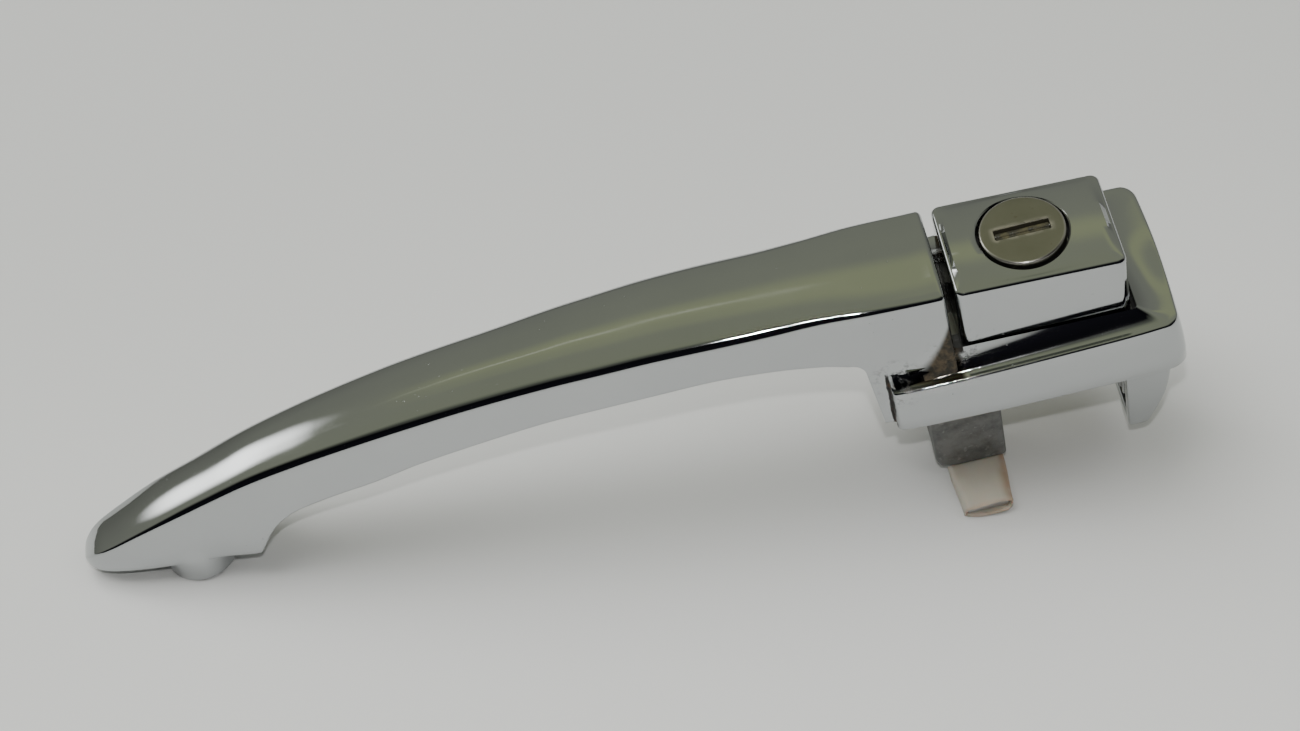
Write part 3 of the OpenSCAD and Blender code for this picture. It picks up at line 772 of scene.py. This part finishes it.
plug = {
    "face": 31.55, "r": 8.0, "round": 0.5, "keyLen": 10.4, "keyWidth": 2.5, "keyFloor": 28.45, "lip": 0.12,
    "body": [(3.0, 13.5), (3.0, 15.1), (2.55, 15.2), (2.55, 16.0), (3.0, 16.1), (3.0, 16.3),  # radius and z
             (6.5, 16.35), (6.5, 27.3), (7.85, 27.32), (8.0, 27.5)],
    "waferZ": (17.6, 19.8, 22.0, 24.2), "waferSlot": (7.3, 3.6), "waferGap": (-0.1, 1.1),
}


def buildPlug():
    p = plug

    def keyway(grow, corner):
        x, y = p["keyLen"] / 2 + grow, p["keyWidth"] / 2 + grow
        return cornerLoop(rectangle(lockX - x, lockX + x, -y, y), [corner] * 4, 5, [40, 14, 40, 14])

    slot, lip = keyway(0, 0.3), keyway(p["lip"], 0.4)

    def around(r, z):
        return lift(facing(slot, lockX, 0, r), z)

    low = p["face"] - 0.55
    rings = [around(r, z) for r, z in p["body"] + [(p["r"], low)]]
    for a in range(15, 91, 15):
        t = math.radians(a)
        rings.append(around(p["r"] - p["round"] * (1 - math.cos(t)), low + p["round"] * math.sin(t)))
    outer = facing(slot, lockX, 0, p["r"] - 0.55)
    for f in (0.25, 0.5, 0.75, 1.0):
        rings.append(lift([a.lerp(b, f) for a, b in zip(outer, lip)], p["face"] - 0.05 + 0.05 * f))
    rings += [lift(slot, p["face"] - 0.14), lift(slot, p["keyFloor"])]
    obj = stack("plugCylinder", rings)
    x, y = p["waferSlot"]
    under, over = p["waferGap"]
    for z in p["waferZ"]:
        carve(obj, boxCutter(lockX - x, lockX + x, -y, y, z + under, z + over))
    smooth(obj, 38)
    dress(obj, nickel)
    return obj


print("plug")
plugCylinder = buildPlug()


# the spring that returns the button; the button squeezes it as it goes in, but here it keeps one length

spring = {"x": lockX + 12.4, "r": 3.6, "wire": 0.4, "turns": 5, "low": 2.7, "high": 12.8, "squeezed": 8.3,
          "perTurn": 24, "wireSides": 10, "endFlat": 0.25}


def buildSpring():
    s = spring
    rings = []
    count = s["turns"] * s["perTurn"]
    start, end = s["low"] + s["wire"] + 0.02, s["high"] - s["wire"] - 0.02
    for k in range(count + 1):
        a = 2 * math.pi * k / s["perTurn"]
        z = lerp(start, end, ease(0, 1, k / count) * s["endFlat"] + k / count * (1 - s["endFlat"]))
        ring = []
        for m in range(s["wireSides"]):
            b = 2 * math.pi * m / s["wireSides"]
            reach = s["r"] + s["wire"] * math.cos(b)
            ring.append((s["x"] + reach * math.cos(a), reach * math.sin(a), z + s["wire"] * math.sin(b)))
        rings.append(ring)
    obj = stack("returnSpring", rings)
    smooth(obj, 50)
    dress(obj, springSteel)
    return obj


print("spring")
returnSpring = buildSpring()


# the plunger: a plate under the button and a square stem that reaches into the door

plunger = {
    "x0": 142.9, "x1": 156.7, "y0": -9.0, "y1": 5.0, "depth": 23.1, "edge": 2.4, "bore": 2.55, "boreTop": 9.3,
    "boreX": lockX - 15.5, "boreY": -2.0, "plate": (142.9, lockX + 18, -12.2, 12.2), "plateLow": 8.03,
    "plateHigh": 13.6, "chamfer": 0.3, "pocket": (lockX - 22, lockX + 6.6, -6, 6.6),
    "springR": 4.5, "springZ": (7, 12.8),
}


def buildPlunger():
    p = plunger

    def rect(x0, x1, y0, y1, r):
        return cornerLoop(rectangle(x0, x1, y0, y1), [r] * 4, arcN, [8, 12] * 2)

    def stem(t=1.0):  # t runs from the flat underside to the upright sides
        side, left = 0.5 * (1 - t), p["edge"] * (1 - t)
        return rect(p["x0"] + left, p["x1"] - side, p["y0"] + side, p["y1"] - side, 0.9)

    def hole(r):
        return facing(stem(), p["boreX"], p["boreY"], r)

    bottom = -p["depth"]
    bore = hole(p["bore"])
    rings = [lift(bore, p["boreTop"]), lift(bore, bottom), lift(hole(p["bore"] + 0.8), bottom)]

    def rise(q):  # how high the rounding goes, most at the left
        return lerp(p["edge"], 0.5, ease(p["x0"], p["x0"] + 4, q.x))

    for a in range(0, 91, 15):
        t = math.radians(a)
        rings.append([(q.x, q.y, bottom + (1 - math.cos(t)) * rise(q)) for q in stem(math.sin(t))])
    rings += [lift(stem(), z) for z in (-17, -12, -6, 0, 8.0)]
    x0, x1, y0, y1 = p["plate"]
    c = p["chamfer"]
    plate, narrow = rect(x0, x1, y0, y1, 1.0), rect(x0 + c, x1 - c, y0 + c, y1 - c, 0.7)
    pocket = rect(*p["pocket"], 0.6)
    rings += [lift(narrow, p["plateLow"]), lift(plate, p["plateLow"] + c), lift(plate, p["plateHigh"] - c),
              lift(narrow, p["plateHigh"]), lift(pocket, p["plateHigh"]), lift(pocket, p["boreTop"])]
    obj = stack("plungerCasting", rings, closed=True)
    carve(obj, stack("cutter", [lift(circle(spring["x"], 0, p["springR"], 48), z) for z in p["springZ"]]))
    smooth(obj, 40)
    dress(obj, zinc)
    return obj


print("plunger")
plungerCasting = buildPlunger()


# the flattened plastic sleeve on the tongue

sleeve = {"x": lockX - 15.5, "z": -25.8, "tip": -19.0, "root": -7.4, "wide": 5.55, "tall": 1.95, "wall": 0.62,
          "sides": 72, "squareness": 3.2, "taper": 0.86}


def buildSleeve():
    s = sleeve

    def bulge(size, c):
        return size * math.copysign(abs(c) ** (2 / s["squareness"]), c)

    def oval(y, wide, tall, wob):  # wob is how much the wall wavers
        ring = []
        cutEnd = 0.35 if y < s["tip"] + 1.5 else 0
        for k in range(s["sides"]):
            a = 2 * math.pi * k / s["sides"]
            u = bulge(wide, math.cos(a)) + wob * 0.22 * math.sin(3 * a + 0.6)
            crease = 0.20 * math.sin(2 * a + y * 0.45) + 0.12 * math.sin(5 * a + 1.3)
            v = bulge(tall, math.sin(a)) + wob * crease
            ring.append((s["x"] + u, y + wob * cutEnd * math.sin(2 * a + 0.8), s["z"] + v))
        return ring

    wide, tall, wall = s["wide"], s["tall"], s["wall"]
    outer, inner = [], []
    for k in range(15):
        t = k / 14
        y = lerp(s["tip"] + 0.25, s["root"], t)
        taper = lerp(s["taper"], 1.0, ease(0, 0.9, t))
        wob = lerp(1.0, 0.25, ease(0, 0.8, t))
        outer.append(oval(y, wide * taper, tall * lerp(1.0, 0.97, t), wob))
        inner.append(oval(y, (wide - wall) * taper, (tall - wall) * lerp(0.95, 0.97, t), wob))
    lipTip = oval(s["tip"] - 0.02, (wide - wall * 0.5) * s["taper"], tall - wall * 0.5, 1.0)
    obj = stack("tongueSleeve", [lipTip] + outer + inner[::-1], closed=True)
    smooth(obj, 50)
    dress(obj, sleevePlastic)
    return obj


print("sleeve")
tongueSleeve = buildSleeve()


# which CAD body each piece moves with, and which CAD solid it stands for

for piece in [gripCasting, footBoss, baseCasting] + legPieces:
    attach(piece, "housing")
    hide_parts("handle_body")
for piece, body, node, slot in ((buttonBlock, "button", "push_button", "chrome_button"),
                                (plugCylinder, "lock", "lock_plug", "plug_face"),
                                (plungerCasting, "button", "plunger_carrier", "plunger_zinc"),
                                (tongueSleeve, "tongue", "tongue_sleeve", "sleeve_plastic")):
    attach(piece, body)
    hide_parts(node)

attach(returnSpring, "housing")
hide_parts("return_spring")
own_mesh(returnSpring)

finishes = {
    "front_insert": steel, "leg_nut": steel, "retainer_plate": yellowSteel, "retainer_screws": steel,
    "bump_pads": rubber, "button_seal": rubber, "plug_seal": rubber, "lock_barrel": barrelZinc,
    "keyway_shutter": keywayDirt, "shutter_pin": steel, "shutter_spring": springSteel, "wafers_left": brass,
    "wafers_right": brass, "wafer_springs": springSteel, "plug_clip": steel, "lock_crank": steel,
    "lock_link": steel, "carrier_screws": steel, "tongue_spindle": steel, "tongue_blade": steel,
}
for name, material in finishes.items():
    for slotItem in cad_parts[name].material_slots:
        slotItem.material = material


# the table that the handle lies on, its light and the camera

view = {
    "place": (0.11525, -0.32938, 0.42473),
    "right": (0.97171, -0.15578, -0.17750), "up": (0.23259, 0.76164, 0.60482),
    "back": (0.04097, -0.62899, 0.77633),
    "lens": 77.54,
}
table = {"size": 3.0, "cells": 40, "point": (-0.0015, 0, -0.00535), "tilt": math.atan(0.148)}


def buildTable():
    t = table
    deselectAll()
    bpy.ops.mesh.primitive_grid_add(x_subdivisions=t["cells"], y_subdivisions=t["cells"], size=t["size"])
    obj = bpy.context.object
    obj.name = "table"
    obj.data.transform(Matrix.Translation(t["point"]) @ Matrix.Rotation(t["tilt"], 4, "Y"))
    dress(obj, tableTop)


def buildCamera():
    camera = bpy.data.objects.new("camera", bpy.data.cameras.new("camera"))
    bpy.context.collection.objects.link(camera)
    turn = Matrix([view[k] for k in ("right", "up", "back")]).transposed()
    camera.matrix_world = Matrix.Translation(view["place"]) @ turn.to_4x4()
    camera.data.lens = view["lens"]
    camera.data.sensor_width = 36
    camera.data.clip_start = 0.01
    bpy.context.scene.camera = camera


lights = {
    "sky": {"at": (-0.2, 0.25, 1.5), "size": 1.2, "power": 24.0,
            "colour": (1.0, 0.99, 0.985), "glossy": False},
    "side": {"at": (0.9, -0.3, 0.9), "size": 0.9, "power": 3.2,
             "colour": (1.0, 1.0, 1.0), "glossy": False},
    "flash": {"at": (0.127, -0.291, 0.455), "size": 0.012, "power": 0.8,
              "colour": (1.0, 0.985, 0.97), "glossy": True},
}


lightsAim = Vector((0.09, 0, 0))


def buildLight(name, spec):
    data = bpy.data.lights.new(name, "AREA")
    data.energy = spec["power"]
    data.size = spec["size"]
    data.color = spec["colour"]
    obj = bpy.data.objects.new(name, data)
    bpy.context.collection.objects.link(obj)
    obj.location = spec["at"]
    obj.rotation_euler = (lightsAim - obj.location).to_track_quat("-Z", "Y").to_euler()
    obj.visible_glossy = spec["glossy"]


room = {
    "table": (0.60, 0.60, 0.59), "above": (0.33, 0.352, 0.25),
    "behind": [(0.52, (0.17, 0.175, 0.155)), (0.72, (0.28, 0.29, 0.245)), (0.90, (0.325, 0.342, 0.265))],
    "before": [(0.46, (0.58, 0.58, 0.57)), (0.495, (0.012, 0.012, 0.016)),
               (0.885, (0.006, 0.006, 0.008)), (0.96, (0.14, 0.15, 0.12))],
    "windowAt": (-0.64, 0.525, 0.56), "window": (4.2, 4.2, 4.1),
    "lampSlope": 0.72, "lamp": (0.42, 0.45, 0.28), "tube": (0.75, 0.78, 0.6),
}


def buildWorld():
    # a dim olive room: brighter overhead, dark towards the horizon in front
    g = room
    world = bpy.data.worlds.new("room")
    world.use_nodes = True
    bpy.context.scene.world = world
    s = Nodes(world.node_tree, "Generated", 1.0)
    up = s.z * 0.5 + 0.5
    behind = s.ramp(up, [(0.0, g["table"]), (0.49, g["table"])] + g["behind"] + [(1.0, g["above"])])
    before = s.ramp(up, [(0.0, g["table"])] + g["before"] + [(1.0, g["above"])])
    side = s.ramp(s.y * 0.5 + 0.5, [(0.42, (0, 0, 0)), (0.58, (1, 1, 1))])
    glow = s.mix(side, before, behind)

    # a window at the upper left, and overhead a wide greenish lamp with a thin tube in it
    wx, wy, wz = g["windowAt"]
    window = s.band(s.x * wx + s.y * wy + s.z * wz, 0.970, 1.0)
    off = (s.y - s.z * g["lampSlope"]).size()
    reach = s.band(s.z, 0.55, 0.7) * s.band(s.x, -0.45, -0.2)
    lamp = s.inside(off, 0.02, 0.17) * reach
    tube = s.inside(off, 0.004, 0.014) * reach * s.inside(s.x, 0.0, 0.12)
    for amount, kind in ((window, "window"), (lamp, "lamp"), (tube, "tube")):
        glow = s.mix(amount, glow, g[kind])
    background = s.node("Background", {}, {"Color": glow, "Strength": 1.0})
    s.node("OutputWorld", {}, {"Surface": background}, None)


print("stage")
buildTable()
buildCamera()
for name, spec in lights.items():
    buildLight(name, spec)
buildWorld()
